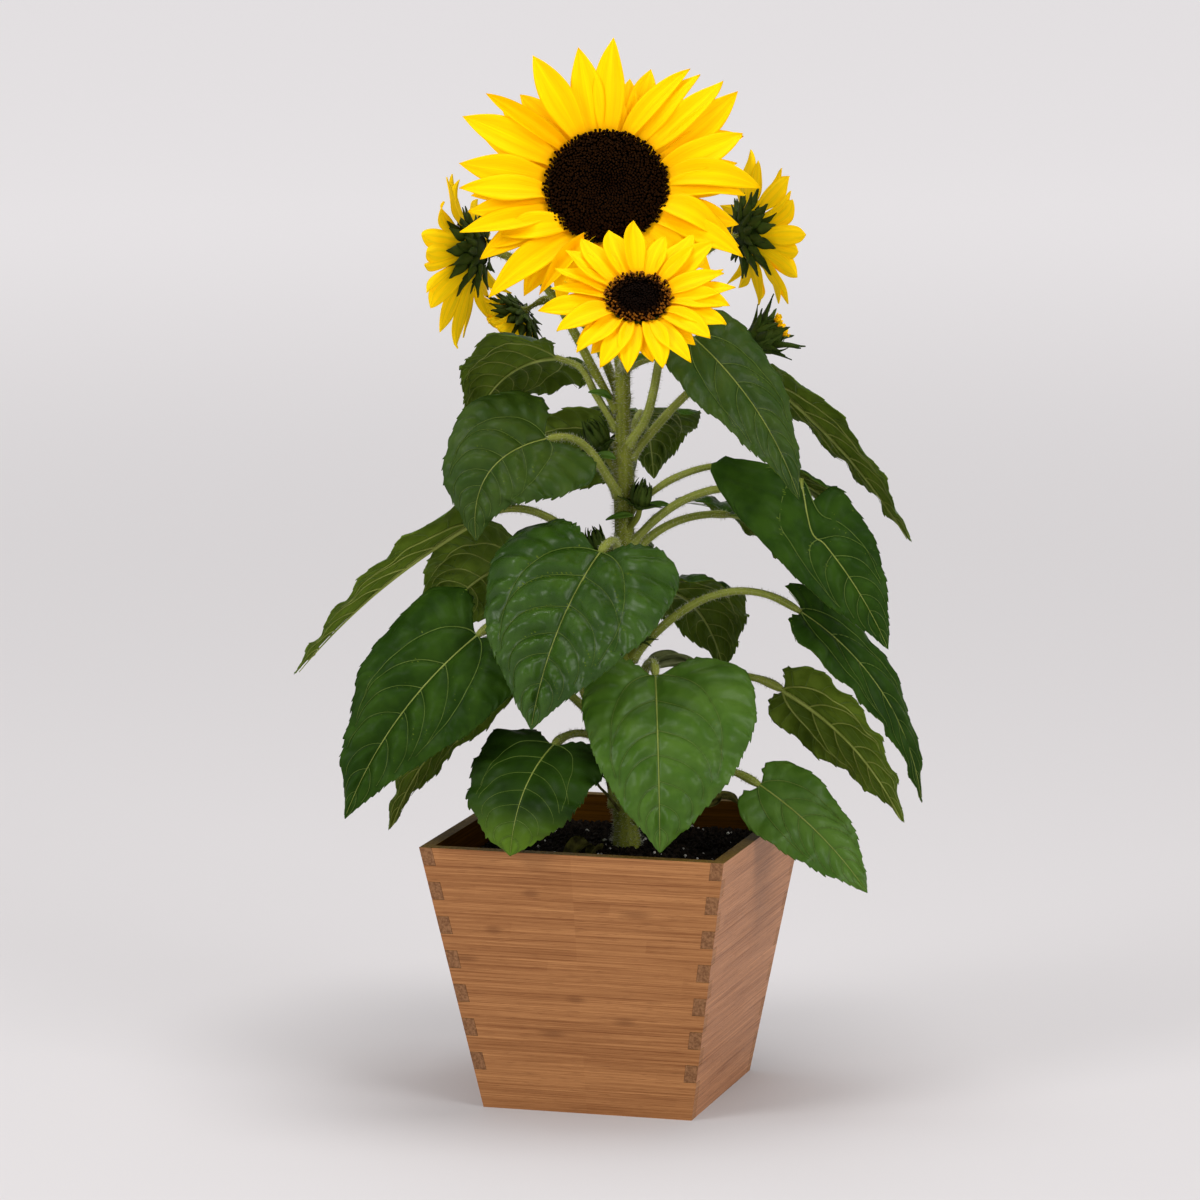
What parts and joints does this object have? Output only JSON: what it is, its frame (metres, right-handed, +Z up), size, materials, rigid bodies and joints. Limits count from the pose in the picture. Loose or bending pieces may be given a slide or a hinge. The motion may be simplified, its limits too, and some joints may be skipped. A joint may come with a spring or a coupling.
{
  "type": "potted sunflower plant",
  "caption": "Potted branching sunflower: hairy upright stem with broad heart-shaped leaves and dark-centred yellow blooms, in a flared finger-jointed bamboo planter.",
  "frame": {"origin": "centre of the planter's flat underside, on the ground", "axes": "+Z up the stem; the planter's front board faces -Y and its right board +X"},
  "size_m": [0.323, 0.2321, 0.558],
  "materials": {
    "bamboo": "oiled",
    "soil": "matte",
    "stem": "matte",
    "petiole": "matte",
    "leaf": "satin",
    "bloom": "matte",
    "bud": "matte"
  },
  "bodies": {
    "root": {"bloom_front": "bloom", "bloom_left": "bloom", "bloom_low_left": "bloom", "bloom_main": "bloom", "bloom_right": "bloom", "bud_axil_front": "bud", "bud_axil_low": "bud", "bud_axil_right": "bud", "bud_axil_upper": "bud", "bud_outer_right": "bud", "leaf_01": "leaf", "leaf_02": "leaf", "leaf_03": "leaf", "leaf_04": "leaf", "leaf_05": "leaf", "leaf_06": "leaf", "leaf_07": "leaf", "leaf_08": "leaf", "leaf_09": "leaf", "leaf_10": "leaf", "leaf_11": "leaf", "leaf_12": "leaf", "leaf_13": "leaf", "leaf_14": "leaf", "leaf_15": "leaf", "leaf_16": "leaf", "leaf_17": "leaf", "leaf_18": "leaf", "leaf_19": "leaf", "leaf_20": "leaf", "leaf_21": "leaf", "leaf_22": "leaf", "leaf_23": "leaf", "leaf_24": "leaf", "petiole_02": "petiole", "petiole_05": "petiole", "petiole_06": "petiole", "petiole_07": "petiole", "petiole_08": "petiole", "petiole_09": "petiole", "petiole_10": "petiole", "petiole_11": "petiole", "petiole_12": "petiole", "petiole_13": "petiole", "petiole_14": "petiole", "petiole_16": "petiole", "petiole_17": "petiole", "petiole_18": "petiole", "petiole_19": "petiole", "planter_back": "bamboo", "planter_floor": "bamboo", "planter_front": "bamboo", "planter_left": "bamboo", "planter_right": "bamboo", "soil": "soil", "stalk_front": "stem", "stalk_left": "stem", "stalk_low_left": "stem", "stalk_right": "stem", "stem": "stem"}
  },
  "joints": []
}
